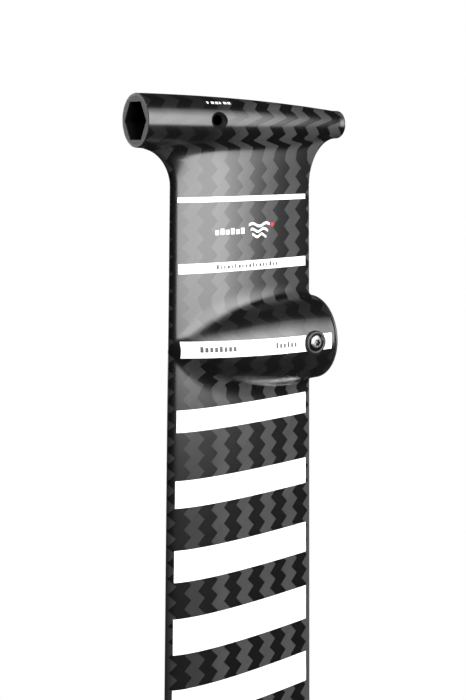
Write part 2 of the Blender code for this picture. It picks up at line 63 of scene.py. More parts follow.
TUBE_FRONT_X = -0.0766
TUBE_REAR_X = 0.0759
TUBE_FRONT_R = 0.01597
TUBE_TAPER = 0.0071
TUBE_TAPER_END = 0.97
TUBE_TAPER_POWER = 2.2
TUBE_AXIS_DROP = 0.0012
SLEEVE_INSET = 0.00178
SLEEVE_REAR_X = -0.0099
TAIL_SLEEVE_X = 0.0449
TUBE_BLEND = 0.0078

POD_Z = 0.650
POD_R = 0.0277
POD_NOSE_X = -0.0552
POD_FULL_X = 0.0300
POD_NOSE_POWER = 0.8
POD_SHELL_REAR_X = 0.0549
POD_REAR_X = 0.0575
POD_BLEND = 0.012

BOLT_HOLE = (-0.0268, 0.7905)
BOLT_HOLE_R = 0.0033
COUNTERSINK_R = 0.0060
SCREW = (0.0385, 0.651)
SCREW_HEAD_R = 0.0054
STAR_R = 0.00205
STAR_LOBE = 0.00042
CUP_R = 0.0076

EDGE_SOFTNESS = 0.0010
SIDES = {"right": -1, "left": 1}  # the side's sign along Y
AXIS_X = Matrix.Rotation(math.pi / 2, 4, "Y")


# The skin as one smooth field: negative inside the mast, zero on its surface


def flare(distance, reach, height):
    share = np.clip(distance / height, 0.0, 1.0)
    return reach * (1 - np.sqrt(1 - share * share))


def half_chord(z):
    return HALF_CHORD_TOP + CHORD_TAPER * (FUSELAGE_Z - z)


def foot_flare(z):
    return flare(BLADE_BASE_Z + FOOT_FILLET - z, FOOT_FILLET, FOOT_FILLET)


def leading_x(z):
    start, reach, height = FRONT_FILLET
    return -half_chord(z) - flare(z - start, reach, height) - foot_flare(z)


def trailing_x(z):
    start, reach, height = REAR_FILLET
    return half_chord(z) + flare(z - start, reach, height) + foot_flare(z)


def blade_half_squared(x, z):
    """The blade's half thickness, squared. It goes on below zero past the blade's two edges."""
    lead, trail = leading_x(z), trailing_x(z)
    share = np.clip((x - lead) / (trail - lead), 0.0, 1.0)
    # The usual four-digit aerofoil's thickness curve
    curve = 0.2969 * np.sqrt(share) - 0.1260 * share - 0.3516 * share**2
    curve = curve + 0.2843 * share**3 - 0.1036 * share**4
    half = 10 * half_chord(z) * THICKNESS_RATIO * curve + TRAILING_HALF * share
    half = half + foot_flare(z) * np.sqrt(np.sin(np.pi * share))
    back = np.clip((trail - x) / TRAILING_ROUND, 0.0, 1.0)
    nose_slope, tail_slope = 0.0044, 0.0008
    outside = nose_slope * np.minimum(x - lead, 0.0) + tail_slope * np.minimum(trail - x, 0.0)
    return half**2 * back * (2 - back) + outside


def blade_field(x, y, z):
    step = 1e-5
    squared = blade_half_squared(x, z)
    along = (blade_half_squared(x + step, z) - blade_half_squared(x - step, z)) / (2 * step)
    up = (blade_half_squared(x, z + step) - blade_half_squared(x, z - step)) / (2 * step)
    section = (y**2 - squared) / np.sqrt(4 * y**2 + along**2 + up**2 + 1e-7)
    return np.maximum(section, z - BLADE_TOP_Z)


def tube_radius(x):
    share = np.clip((x - TUBE_FRONT_X) / (TUBE_REAR_X - TUBE_FRONT_X), 0.0, 1.0)
    share = np.minimum(share / TUBE_TAPER_END, 1.0)
    return TUBE_FRONT_R - TUBE_TAPER * share**TUBE_TAPER_POWER


def tube_axis(x):
    return FUSELAGE_Z - TUBE_AXIS_DROP * (x - TUBE_FRONT_X) / (TUBE_REAR_X - TUBE_FRONT_X)


def tube_field(x, y, z):
    return np.hypot(y, z - tube_axis(x)) - tube_radius(x)


def pod_radius(x):
    share = np.maximum(POD_FULL_X - x, 0.0) / (POD_FULL_X - POD_NOSE_X)
    open_part = 1 - share**2
    return POD_R * (np.maximum(open_part, 0.0) ** POD_NOSE_POWER + np.minimum(open_part, 0.0))


def smooth_union(a, b, reach):
    near = np.maximum(reach - np.abs(a - b), 0.0) / reach
    return np.minimum(a, b) - near**3 * reach / 6


def smooth_cut(a, b, reach):
    return -smooth_union(-a, -b, reach)


def pod_field(x, y, z):
    body = (np.hypot(y, z - POD_Z) - pod_radius(x)) * 0.93
    return smooth_cut(body, x - POD_SHELL_REAR_X, EDGE_SOFTNESS / 2)


def blend_reach(x, widest, front, rear, fade):
    """A fillet's reach along X: it dies away before the front and rear edges of the blade."""
    share = np.clip((x - front) / fade, 0.0, 1.0) * np.clip((rear - x) / fade, 0.0, 1.0)
    return 0.0006 + widest * np.sqrt(share)


def skin_field(x, y, z):
    tube_reach = blend_reach(x, TUBE_BLEND, TUBE_FRONT_X + 0.006, TUBE_REAR_X - 0.012, 0.025)
    pod_reach = blend_reach(x, POD_BLEND, POD_NOSE_X + 0.001, POD_SHELL_REAR_X + 0.001, 0.020)
    body = smooth_union(blade_field(x, y, z), tube_field(x, y, z), tube_reach)
    body = smooth_union(body, pod_field(x, y, z), pod_reach)
    ends = np.maximum(TUBE_FRONT_X - x, x - TUBE_REAR_X)
    body = smooth_cut(body, ends, EDGE_SOFTNESS)
    return smooth_cut(body, BLADE_BASE_Z - z, EDGE_SOFTNESS / 2)


def field_gradient(points):
    x, y, z = points.T
    step = 2e-5
    return np.stack(
        [
            skin_field(x + step, y, z) - skin_field(x - step, y, z),
            skin_field(x, y + step, z) - skin_field(x, y - step, z),
            skin_field(x, y, z + step) - skin_field(x, y, z - step),
        ],
        axis=1,
    ) / (2 * step)


def onto_skin(points, rounds=5, longest=0.0006):
    """Moves points along the field's gradient until they lie on the skin."""
    for _ in range(rounds):
        gradient = field_gradient(points)
        value = skin_field(*points.T)
        step = value[:, None] * gradient / (np.sum(gradient**2, axis=1)[:, None] + 1e-9)
        length = np.linalg.norm(step, axis=1)[:, None]
        points = points - step * np.minimum(1.0, longest / np.maximum(length, 1e-12))
    return points


def skin_half_width(x, z):
    """How far the skin stands from the symmetry plane at (x, z), by halving."""
    low, high = np.zeros_like(x), np.full_like(x, 0.032)
    for _ in range(34):
        middle = (low + high) / 2
        inside = skin_field(x, middle, z) < 0
        low, high = np.where(inside, middle, low), np.where(inside, high, middle)
    return (low + high) / 2


# Lattice and net: a closed mesh of quads on the field's zero surface

# Spacing of the lattice's rows at some heights, and of its layers at some distances from the middle
ROW_SPACING = [
    (0.008, 0.0008),
    (0.022, 0.0012),
    (0.032, 0.0040),
    (0.602, 0.0040),
    (0.616, 0.0012),
    (0.686, 0.0012),
    (0.700, 0.0032),
    (0.742, 0.0025),
    (0.752, 0.0010),
    (0.810, 0.0009),
]
LAYER_SPACING = [(0, 0.00055), (0.005, 0.00055), (0.029, 0.0012)]
COLUMNS = 96
MARGIN_COLUMNS = 7  # outside each edge of the blade
MARGIN_SPACING = 0.00042


def marching_places(low, high, stops):
    """Places from low to high whose spacing is read off between the stops."""
    where, spacing = zip(*stops)
    places = [low]
    while places[-1] < high:
        places.append(places[-1] + float(np.interp(places[-1], where, spacing)))
    return np.array(places)


def skin_lattice():
    """Columns follow the blade's two edges. Rows are closer at the foot, the pod and the tube."""
    rows = marching_places(BLADE_BASE_Z - 0.0012, FUSELAGE_Z + 0.0175, ROW_SPACING)
    half = marching_places(0.00025, 0.0290, LAYER_SPACING)
    sides = np.concatenate([-half[::-1], half])
    share = np.arange(COLUMNS + 1) / COLUMNS
    share = 0.25 * share + 0.75 * (1 - np.cos(np.pi * share)) / 2
    lead = np.minimum(leading_x(rows), leading_x(rows + 0.004))
    trail = np.maximum(trailing_x(rows), trailing_x(rows + 0.004))
    by_tube = rows > BLADE_TOP_Z - TUBE_FRONT_R
    lead = np.where(by_tube, np.minimum(lead, leading_x(BLADE_TOP_Z)), lead)
    inner = lead[None, :] + share[:, None] * (trail - lead)[None, :]
    outer = np.arange(1, MARGIN_COLUMNS + 1)[:, None] * MARGIN_SPACING
    across = np.concatenate([inner[:1] - outer[::-1], inner, inner[-1:] + outer])
    return across, sides, rows


def surface_net(across, sides, rows, values):
    """One vertex for each lattice cell that the surface passes, and one quad for each cut edge."""
    inside = values < 0
    cells_shape = tuple(n - 1 for n in values.shape)
    corners = [(i, j, k) for i in (0, 1) for j in (0, 1) for k in (0, 1)]
    count = np.zeros(cells_shape, np.int8)
    for i, j, k in corners:
        count += inside[i : i + cells_shape[0], j : j + cells_shape[1], k : k + cells_shape[2]]
    mixed = (count > 0) & (count < 8)
    index = np.full(cells_shape, -1, np.int64)
    index[mixed] = np.arange(mixed.sum())
    cells = np.argwhere(mixed)

    def place(at):
        return np.stack([across[at[:, 0], at[:, 2]], sides[at[:, 1]], rows[at[:, 2]]], axis=1)

    total, crossings = np.zeros((len(cells), 3)), np.zeros(len(cells))
    for start in corners:
        for axis in range(3):
            if start[axis]:
                continue
            a = cells + start
            b = a.copy()
            b[:, axis] += 1
            value_a, value_b = values[tuple(a.T)], values[tuple(b.T)]
            cut = (value_a < 0) != (value_b < 0)
            share = np.where(cut, value_a / np.where(cut, value_a - value_b, 1.0), 0.0)[:, None]
            total += np.where(cut[:, None], place(a) * (1 - share) + place(b) * share, 0.0)
            crossings += cut
    quads = []
    for axis in range(3):
        one, two = [other for other in range(3) if other != axis]
        near = [slice(None)] * 3
        far = [slice(None)] * 3
        near[axis], far[axis] = slice(None, -1), slice(1, None)
        first, second = inside[tuple(near)], inside[tuple(far)]
        edges = np.argwhere(first != second)
        edges = edges[(edges[:, one] > 0) & (edges[:, two] > 0)]
        edges = edges[(edges[:, one] < cells_shape[one]) & (edges[:, two] < cells_shape[two])]
        back_one, back_two = np.zeros(3, int), np.zeros(3, int)
        back_one[one], back_two[two] = 1, 1
        ring = [edges, edges - back_one, edges - back_one - back_two, edges - back_two]
        faces = np.stack([index[tuple(c.T)] for c in ring], axis=1)
        outward = first[tuple(edges.T)] ^ (axis == 1)
        quads.append(np.where(outward[:, None], faces, faces[:, ::-1]))
    return total / crossings[:, None], np.concatenate(quads)


# Mesh helpers


def new_object(name, mesh):
    obj = bpy.data.objects.new(name, mesh)
    bpy.context.scene.collection.objects.link(obj)
    return obj


def object_from(name, bm, matrix=None, sharp=35.0):
    if matrix is not None:
        bmesh.ops.transform(bm, matrix=matrix, verts=bm.verts)
    bmesh.ops.remove_doubles(bm, verts=bm.verts, dist=1e-7)
    bmesh.ops.recalc_face_normals(bm, faces=bm.faces)
    mesh = bpy.data.meshes.new(name)
    bm.to_mesh(mesh)
    bm.free()
    mesh.shade_smooth()
    mesh.set_sharp_from_angle(angle=math.radians(sharp))
    return new_object(name, mesh)


def turned(name, profile, matrix=None, segments=96, sharp=35.0):
    """Turns a (radius, height) profile about Z. One that doesn't start on the axis is closed."""
    bm = bmesh.new()
    rings = []
    for radius, height in profile:
        if radius < 1e-9:
            rings.append([bm.verts.new((0, 0, height))] * segments)
            continue
        angles = [2 * math.pi * i / segments for i in range(segments)]
        rings.append(
            [bm.verts.new((radius * math.cos(a), radius * math.sin(a), height)) for a in angles]
        )
    closed = profile[0][0] > 1e-9
    pairs = list(zip(rings, rings[1:])) + ([(rings[-1], rings[0])] if closed else [])
    for one, two in pairs:
        for i in range(segments):
            j = (i + 1) % segments
            corners = list(dict.fromkeys((one[i], one[j], two[j], two[i])))
            bm.faces.new(corners)
    return object_from(name, bm, matrix, sharp)


def prism(name, outline, low, high, matrix=None, sharp=35.0):
    """An outline in X and Y, extruded from low to high."""
    bm = bmesh.new()
    face = bm.faces.new([bm.verts.new((x, y, low)) for x, y in outline])
    made = bmesh.ops.extrude_face_region(bm, geom=[face])
    top = [item for item in made["geom"] if isinstance(item, bmesh.types.BMVert)]
    bmesh.ops.translate(bm, vec=(0, 0, high - low), verts=top)
    return object_from(name, bm, matrix, sharp)


def carve(obj, cutters):
    """Takes cutters out of an object with exact Booleans, and removes them."""
    for cutter in cutters:
        modifier = obj.modifiers.new(cutter.name, "BOOLEAN")
        modifier.operation = "DIFFERENCE"
        modifier.object = cutter
        modifier.solver = "EXACT"
    bpy.context.view_layer.update()
    graph = bpy.context.evaluated_depsgraph_get()
    carved = bpy.data.meshes.new_from_object(obj.evaluated_get(graph))
    obj.modifiers.clear()
    old = obj.data
    obj.data = carved
    bpy.data.meshes.remove(old)
    for cutter in cutters:
        bpy.data.objects.remove(cutter, do_unlink=True)


def sideways(side, x, z):
    """Places a piece drawn along +Z so that it points out of one side of the mast."""
    turn = Matrix.Rotation(-SIDES[side] * math.pi / 2, 4, "X")
    return Matrix.Translation((x, 0, z)) @ turn


def arc(centre, radius, first, last, points=6):
    """Points of a profile's rounded corner, with angles in degrees."""
    angles = [math.radians(first + (last - first) * i / (points - 1)) for i in range(points)]
    return [(centre[0] + radius * math.cos(a), centre[1] + radius * math.sin(a)) for a in angles]


def add_piece(obj, material, slot, *nodes):
    """Gives a piece its material, puts it under the root body and hides the CAD nodes it stands
    for. The record slot is not used.
    """
    obj.data.materials.clear()
    obj.data.materials.append(material)
    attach(obj, "root")
    if nodes:
        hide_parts(*nodes)


# Material helpers


class Graph:
    """A material's node tree, with short calls for the nodes that are used most."""

    def __init__(self, name):
        self.material = bpy.data.materials.new(name)
        self.material.use_nodes = True
        self.tree = self.material.node_tree
        self.shader = self.tree.nodes["Principled BSDF"]

    def node(self, kind, **settings):
        made = self.tree.nodes.new(kind)
        for key, value in settings.items():
            setattr(made, key, value)
        return made

    def feed(self, value, socket):
        if isinstance(value, bpy.types.NodeSocket):
            self.tree.links.new(value, socket)
        else:
            socket.default_value = value

    def math(self, operation, *values):
        made = self.node("ShaderNodeMath", operation=operation)
        for value, socket in zip(values, made.inputs):
            self.feed(value, socket)
        return made.outputs[0]

    def blend(self, factor, one, two):
        """A mix of two colours."""
        made = self.node("ShaderNodeMix", data_type="RGBA")
        self.feed(factor, made.inputs[0])
        self.feed(one, made.inputs[6])
        self.feed(two, made.inputs[7])
        return made.outputs[2]

    def span(self, value, low, high, to_low=0.0, to_high=1.0):
        """The value's smooth rise from to_low at low to to_high at high."""
        made = self.node("ShaderNodeMapRange", interpolation_type="SMOOTHSTEP")
        for item, socket in zip((value, low, high, to_low, to_high), made.inputs):
            self.feed(item, socket)
        return made.outputs[0]

    def place(self):
        return self.node("ShaderNodeTexCoord").outputs["Object"]

    def noise(self, vector, scale, detail=3.0, roughness=0.5):
        made = self.node("ShaderNodeTexNoise")
        for value, name in ((vector, "Vector"), (scale, "Scale"), (detail, "Detail")):
            self.feed(value, made.inputs[name])
        self.feed(roughness, made.inputs["Roughness"])
        return made.outputs["Fac"]

    def stretched(self, scale):
        """Object coordinates scaled along each axis, for a noise that runs along the piece."""
        made = self.node("ShaderNodeMapping")
        self.feed(self.place(), made.inputs["Vector"])
        made.inputs["Scale"].default_value = scale
        return made.outputs["Vector"]

    def bump(self, height, distance, strength=1.0):
        made = self.node("ShaderNodeBump")
        made.inputs["Distance"].default_value = distance
        made.inputs["Strength"].default_value = strength
        self.feed(height, made.inputs["Height"])
        return made.outputs["Normal"]

    def set(self, **sockets):
        for name, value in sockets.items():
            self.feed(value, self.shader.inputs[name.replace("_", " ")])


# Materials

TOW_CELL = (0.00975, 0.0105)  # a cell's diagonals along the chord and up the mast
TOW_START = (-0.0281, 0.58775)
# The pale tows' colour is a painted sheen: it stands in for the light that one direction of tow
# reflects more than the other.
TOWS_PAINTED_SHEEN = (0.024, 0.024, 0.0245, 1), (0.056, 0.056, 0.057, 1)
TOWS_WITHOUT_PAINTED_SHEEN = (0.0016, 0.0016, 0.0017, 1), (0.0045, 0.0045, 0.0047, 1)
TOW_GAP = (0.003, 0.003, 0.003, 1)
# PLAIN_CARBON is the even black that takes the place of the tows' painted sheen where that sheen is
# left out
PLAIN_CARBON = (0.0035, 0.0035, 0.0037, 1)
MACHINED_CARBON = (0.018, 0.018, 0.0185, 1), (0.052, 0.052, 0.053, 1)
# Painted shade for the walls inside the sleeve and the holes
BORE_PAINTED_SHADE = (0.0015, 0.0015, 0.0015, 1), (0.0060, 0.0060, 0.0061, 1)


def woven_carbon():
    """Spread-tow twill at 45 degrees under satin lacquer. Tows that rise to the rear are painted
    paler: a painted sheen for the light that one direction of tow reflects more than the other.
    """
    g = Graph("woven_carbon")
    weave = g.node("ShaderNodeAttribute", attribute_name="weave").outputs["Vector"]
    parts = g.node("ShaderNodeSeparateXYZ")
    g.feed(weave, parts.inputs[0])
    u, v, plain = parts.outputs
    along = g.math("MULTIPLY", g.math("SUBTRACT", u, TOW_START[0]), 1 / TOW_CELL[0])
    up = g.math("MULTIPLY", g.math("SUBTRACT", v, TOW_START[1]), 1 / TOW_CELL[1])
    a, b = g.math("ADD", along, up), g.math("SUBTRACT", along, up)
    tow_a, tow_b = g.math("FLOOR", a), g.math("FLOOR", b)
    cross_a, cross_b = g.math("FRACT", a), g.math("FRACT", b)
    order = g.math("FLOORED_MODULO", g.math("ADD", tow_a, tow_b), 4.0)
    over = g.math("LESS_THAN", order, 1.5)

    def float_height(along, across, first):
        """Height of a tow that lies over two others: flat, falling off at its edges and ends."""
        q = g.math("FLOORED_MODULO", g.math("SUBTRACT", along, first), 4.0)
        end = g.math("ABSOLUTE", g.math("SUBTRACT", q, 1.0))
        edge = g.math("ABSOLUTE", g.math("SUBTRACT", g.math("MULTIPLY", across, 2.0), 1.0))
        falls = g.span(end, 0.70, 1.0, 1.0, 0.0), g.span(edge, 0.86, 1.0, 1.0, 0.0)
        return g.math("MULTIPLY", *falls)

    high_a = float_height(g.math("ADD", a, tow_b), cross_b, 0.0)
    high_b = float_height(g.math("ADD", b, tow_a), cross_a, 2.0)
    pick = g.node("ShaderNodeMix", data_type="FLOAT")
    for value, socket in zip((over, high_b, high_a), pick.inputs[:1] + pick.inputs[2:4]):
        g.feed(value, socket)
    height = pick.outputs[0]

    def streaks(along, across, seed):
        vector = g.node("ShaderNodeCombineXYZ")
        g.feed(g.math("MULTIPLY", along, 1.5), vector.inputs[0])
        g.feed(g.math("MULTIPLY", across, 34.0), vector.inputs[1])
        vector.inputs[2].default_value = seed
        return g.noise(vector.outputs[0], 1.0, 2.0)

    def tow_shade(tow, seed):
        vector = g.node("ShaderNodeCombineXYZ")
        g.feed(tow, vector.inputs[0])
        vector.inputs[1].default_value = seed
        made = g.node("ShaderNodeTexWhiteNoise", noise_dimensions="3D")
        g.feed(vector.outputs[0], made.inputs["Vector"])
        return made.outputs["Value"]

    grain_a, grain_b = streaks(a, b, 1.0), streaks(b, a, 7.0)
    shade_a, shade_b = tow_shade(tow_b, 3.0), tow_shade(tow_a, 9.0)
    level_a = g.math("ADD", g.math("MULTIPLY", grain_a, 0.35), g.math("MULTIPLY", shade_a, 0.22))
    level_b = g.math("ADD", g.math("MULTIPLY", grain_b, 0.35), g.math("MULTIPLY", shade_b, 0.22))
    # Painted sheen: where tows of one direction lie on top they are painted pale, and where the
    # other direction's do, dark.
    bright = g.blend(g.math("ADD", level_a, 0.2), *TOWS_PAINTED_SHEEN)
    dark = g.blend(g.math("ADD", level_b, 0.1), *TOWS_WITHOUT_PAINTED_SHEEN)
    cloth = g.blend(over, dark, bright)
    cloth = g.blend(g.span(height, 0.0, 0.35, 0.75, 1.0), TOW_GAP, cloth)
    # The third weave place leaves out the tows' painted sheen, for an even black.
    clouds = g.noise(g.stretched((9, 9, 5)), 1.0, 2.0)
    faint = g.math("MULTIPLY", plain, g.span(clouds, 0.3, 0.7, 0.8, 1.0))
    colour = g.blend(faint, cloth, PLAIN_CARBON)
    smear = g.noise(g.stretched((40, 40, 16)), 1.0, 4.0, 0.6)
    rough = g.math("ADD", g.math("MULTIPLY", over, -0.04), g.span(smear, 0.25, 0.8, 0.30, 0.36))
    g.set(Base_Color=colour, Roughness=rough, Normal=g.bump(height, 0.00002, 0.3))
    g.set(Specular_IOR_Level=0.06, Coat_Weight=1.0, Coat_Roughness=0.20, Coat_IOR=1.5)
    return g.material


def cut_carbon():
    """Machined laminate with fibre specks."""
    g = Graph("cut_carbon")
    specks = g.noise(g.stretched((2600, 2600, 900)), 1.0, 2.0, 0.7)
    broad = g.noise(g.stretched((160, 160, 160)), 1.0, 3.0)
    level = g.math("ADD", g.math("MULTIPLY", specks, 0.6), g.math("MULTIPLY", broad, 0.4))
    colour = g.blend(g.span(level, 0.3, 0.72), *MACHINED_CARBON)
    g.set(Base_Color=colour, Roughness=g.span(specks, 0.3, 0.7, 0.42, 0.6))
    g.set(Normal=g.bump(specks, 0.00004, 0.6), Specular_IOR_Level=0.5)
    return g.material


def socket_carbon():
    """The socket sleeve and the bored holes: machined at the tube's end, and painted near black
    inside as the shade in the holes.
    """
    g = Graph("socket_carbon")
    specks = g.noise(g.stretched((2600, 2600, 2600)), 1.0, 2.0, 0.7)
    parts = g.node("ShaderNodeSeparateXYZ")
    g.feed(g.place(), parts.inputs[0])
    inside = g.span(parts.outputs[0], TUBE_FRONT_X + 0.0001, TUBE_FRONT_X + 0.0007)
    end = g.blend(g.span(specks, 0.3, 0.72), *MACHINED_CARBON)
    # Painted shade: the walls inside the sleeve and the holes are painted near black.
    bore = g.blend(specks, *BORE_PAINTED_SHADE)
    g.set(Base_Color=g.blend(inside, end, bore), Roughness=g.span(specks, 0.3, 0.7, 0.45, 0.62))
    g.set(Normal=g.bump(specks, 0.00004, 0.6), Specular_IOR_Level=0.25)
    return g.material


def foam():
    """Closed-cell core foam: round cells, a few of them open."""
    g = Graph("core_foam")
    cells = g.node("ShaderNodeTexVoronoi", feature="F1")
    g.feed(g.place(), cells.inputs["Vector"])
    cells.inputs["Scale"].default_value = 900.0
    tone = g.noise(g.stretched((60, 60, 60)), 1.0, 3.0)
    colour = g.blend(tone, (0.55, 0.42, 0.26, 1), (0.72, 0.60, 0.42, 1))
    g.set(Base_Color=colour, Roughness=g.span(cells.outputs["Distance"], 0.1, 0.6, 0.8, 0.95))
    g.set(Normal=g.bump(cells.outputs["Distance"], 0.0003, 0.8))
    return g.material


def anodised():
    """Black anodised aluminium: bead-blasted grain with paler rubbed spots."""
    g = Graph("anodised_aluminium")
    grain = g.noise(g.place(), 4200.0, 2.0, 0.7)
    wear = g.noise(g.stretched((45, 45, 45)), 1.0, 5.0, 0.62)
    colour = g.blend(g.span(wear, 0.50, 0.85), (0.022, 0.022, 0.024, 1), (0.050, 0.050, 0.053, 1))
    g.set(Base_Color=colour, Metallic=0.55, Roughness=g.span(grain, 0.25, 0.75, 0.34, 0.50))
    g.set(Normal=g.bump(grain, 0.00002, 0.5))
    return g.material


def steel(name, low, high):
    """Stainless steel with turning marks."""
    g = Graph(name)
    marks = g.noise(g.stretched((500, 500, 6000)), 1.0, 2.0, 0.6)
    stain = g.noise(g.stretched((300, 300, 300)), 1.0, 3.0)
    colour = g.blend(stain, (low, low, 0.985 * low, 1), (high, high, 0.99 * high, 1))
    g.set(Base_Color=colour, Metallic=1.0, Roughness=g.span(marks, 0.3, 0.7, 0.16, 0.26))
    g.set(Normal=g.bump(marks, 0.000004, 0.4))
    return g.material


def rubber():
    """Matt moulded rubber."""
    g = Graph("black_rubber")
    grain = g.noise(g.place(), 2600.0, 3.0, 0.6)
    colour = g.blend(grain, (0.009, 0.009, 0.009, 1), (0.022, 0.022, 0.021, 1))
    g.set(Base_Color=colour, Roughness=g.span(grain, 0.3, 0.7, 0.62, 0.80))
    g.set(Normal=g.bump(grain, 0.00003, 0.6))
    return g.material


def nylon():
    """Moulded nylon with a fine spark-eroded grain."""
    g = Graph("black_nylon")
    grain = g.noise(g.place(), 1900.0, 3.0, 0.55)
    colour = g.blend(grain, (0.010, 0.010, 0.0105, 1), (0.024, 0.024, 0.025, 1))
    g.set(Base_Color=colour, Roughness=g.span(grain, 0.3, 0.7, 0.30, 0.44))
    g.set(Normal=g.bump(grain, 0.00002, 0.5))
    return g.material


def print_ink(name, low, high):
    """Screen-printed ink under the lacquer: the print is almost even, with a little mottle."""
    g = Graph(name)
    mottle = g.noise(g.stretched((700, 700, 700)), 1.0, 3.0, 0.6)
    colour = g.blend(g.span(mottle, 0.3, 0.7), (*low, 1), (*high, 1))
    g.set(Base_Color=colour, Roughness=g.span(mottle, 0.3, 0.7, 0.30, 0.40))
    g.set(Specular_IOR_Level=0.4, Normal=g.bump(mottle, 0.000006, 0.4))
    return g.material


CARBON = woven_carbon()
CUT_CARBON = cut_carbon()
SOCKET_CARBON = socket_carbon()
FOAM = foam()
ANODISED = anodised()
STEEL = steel("stainless_steel", 0.66, 0.86)
# The screws' stainless steel is painted far darker than the other steel: painted shade that dims
# the key light's reflection in the heads.
SCREW_STEEL_PAINTED_SHADE = steel("stainless_steel_painted_shade", 0.10, 0.17)
RUBBER = rubber()
NYLON = nylon()
WHITE = print_ink("white_ink", (0.86, 0.86, 0.86), (0.94, 0.94, 0.94))
DARK_INK = print_ink("dark_ink", (0.030, 0.030, 0.032), (0.055, 0.055, 0.058))
RED = print_ink("red_ink", (0.52, 0.012, 0.018), (0.64, 0.022, 0.026))


# Skin


# Distances from the axis at which the cloth starts to follow a round surface, and follows it fully
POD_CLOTH_R = (0.034, 0.024)
TUBE_CLOTH_R = (0.024, 0.013)

# Where the tube's cloth is shifted: the radii, and the angles above the tube's sides
SHIFT_R = (0.0205, 0.0165)
SHIFT_STARTS = (14, -10)
SHIFT_ENDS = (-72, -47)

# Where the tows' painted sheen is left out and the cloth looks plain black, by place and by how
# much
PLAIN_TOP_Z = (0.762, 0.778)
PLAIN_TOP_X = (0.006, -0.034)
PLAIN_TOP = 0.93
PLAIN_EDGE = (0.0045, 0.0025)  # behind the leading edge
PLAIN_EDGE_SHARE = 0.65
PLAIN_FRONT_X = (-0.018, -0.038)
PLAIN_FRONT = 0.55
PLAIN_POD_Y = (0.0085, 0.0115)
PLAIN_POD_REACH = 0.040
PLAIN_POD = 0.86
PLAIN_POD_UNDER = 0.06
PLAIN_POD_BAND = 0.25
NEAR_POD_BAND = (0.0120, 0.0080)
UNDER_POD_MIDDLE = 0.008


def fade(value, start, end):
    """Goes evenly from 0 at start to 1 at end, and stays 0 before the start and 1 past the end."""
    return np.clip((value - start) / (end - start), 0.0, 1.0)


def cloth_shift(x, y, z):
    """On the lower half of the tube's sides the cloth is shifted along by half a repeat."""
    angle = np.degrees(np.arctan2(z - tube_axis(x), np.abs(y)))
    near = fade(np.hypot(y, z - tube_axis(x)), *SHIFT_R)
    return TOW_CELL[0] * near * fade(angle, *SHIFT_STARTS) * fade(angle, *SHIFT_ENDS)


def cloth_height(x, y, z):
    """The way up the cloth. Round the tube and the pod it follows the surface, as cloth does."""
    up = z.copy()
    full_pod = fade(pod_radius(x), 0.010, 0.020)
    for axis_z, reach, most in ((tube_axis(x), TUBE_CLOTH_R, 1), (POD_Z, POD_CLOTH_R, full_pod)):
        radius = np.hypot(y, z - axis_z)
        turn = radius * np.arctan2(z - axis_z, np.abs(y))
        share = fade(radius, *reach)
        share = share * share * (3 - 2 * share) * most
        up = up + share * (axis_z + turn - z)
    return up


def plainness(x, y, z):
    """How plain the cloth looks: 0 where the tows' painted sheen shows fully, 1 where it is left
    out and the cloth is even black.
    """
    top = fade(z, *PLAIN_TOP_Z) * np.minimum(fade(x, *PLAIN_TOP_X), PLAIN_TOP)
    edge = PLAIN_EDGE_SHARE * fade(x - leading_x(z), *PLAIN_EDGE)
    front = PLAIN_FRONT * fade(x, *PLAIN_FRONT_X)
    # On the pod the painted sheen is left out: less near its band above its middle, more below its
    # middle.
    on_pod = fade(np.abs(y), *PLAIN_POD_Y) * (np.abs(z - POD_Z) < PLAIN_POD_REACH)
    near_band = fade(np.abs(z - POD_Z), *NEAR_POD_BAND)
    under = fade(z, POD_Z, POD_Z - UNDER_POD_MIDDLE)
    pod = PLAIN_POD - PLAIN_POD_BAND * near_band * (1 - under) + PLAIN_POD_UNDER * under
    return np.maximum.reduce([top, edge, front, on_pod * pod])


def weave_places(points):
    """Where each point lies on the cloth, along the chord and up the mast, and how much of the
    tows' painted sheen is left out there.
    """
    x, y, z = points.T
    along = x + cloth_shift(x, y, z)
    return np.stack([along, cloth_height(x, y, z), plainness(x, y, z)], axis=1)


def sleeve_bore(name, low, high):
    """The room for a socket sleeve in the tube, which narrows with it."""
    stations, segments = 14, 96
    bm = bmesh.new()
    rings = []
    for k in range(stations):
        x = low + (high - low) * k / (stations - 1)
        radius = float(tube_radius(x)) - SLEEVE_INSET
        middle = float(tube_axis(x))
        angles = [2 * math.pi * i / segments for i in range(segments)]
        rings.append(
            [bm.verts.new((x, radius * math.cos(a), middle + radius * math.sin(a))) for a in angles]
        )
    for near, far in zip(rings, rings[1:]):
        for i in range(segments):
            j = (i + 1) % segments
            bm.faces.new((near[i], near[j], far[j], far[i]))
    bm.faces.new(rings[0])
    bm.faces.new(rings[-1])
    return object_from(name, bm)


def countersink_cutter(side):
    skin_y = float(tube_radius(BOLT_HOLE[0]))
    seat = skin_y - (COUNTERSINK_R - BOLT_HOLE_R)
    profile = [
        (0, skin_y + 0.003),
        (COUNTERSINK_R + 0.003, skin_y + 0.003),
        (BOLT_HOLE_R, seat),
        (BOLT_HOLE_R, 0.006),
        (0, 0.006),
    ]
    return turned(f"countersink_{side}", profile, sideways(side, *BOLT_HOLE))


def cup_seat_cutter(side):
    low, high, radius = POD_R - 0.0012, POD_R + 0.004, CUP_R + 0.0003
    profile = [(0, high), (radius, high), (radius, low), (0, low)]
    return turned(f"cup_seat_{side}", profile, sideways(side, *SCREW))


def cap_room_cutter():
    low, high = POD_SHELL_REAR_X, POD_REAR_X + 0.004
    profile = [(0, high), (POD_R + 0.0012, high), (POD_R + 0.0012, low), (0, low)]
    return turned("cap_room", profile, Matrix.Translation((0, 0, POD_Z)) @ AXIS_X)


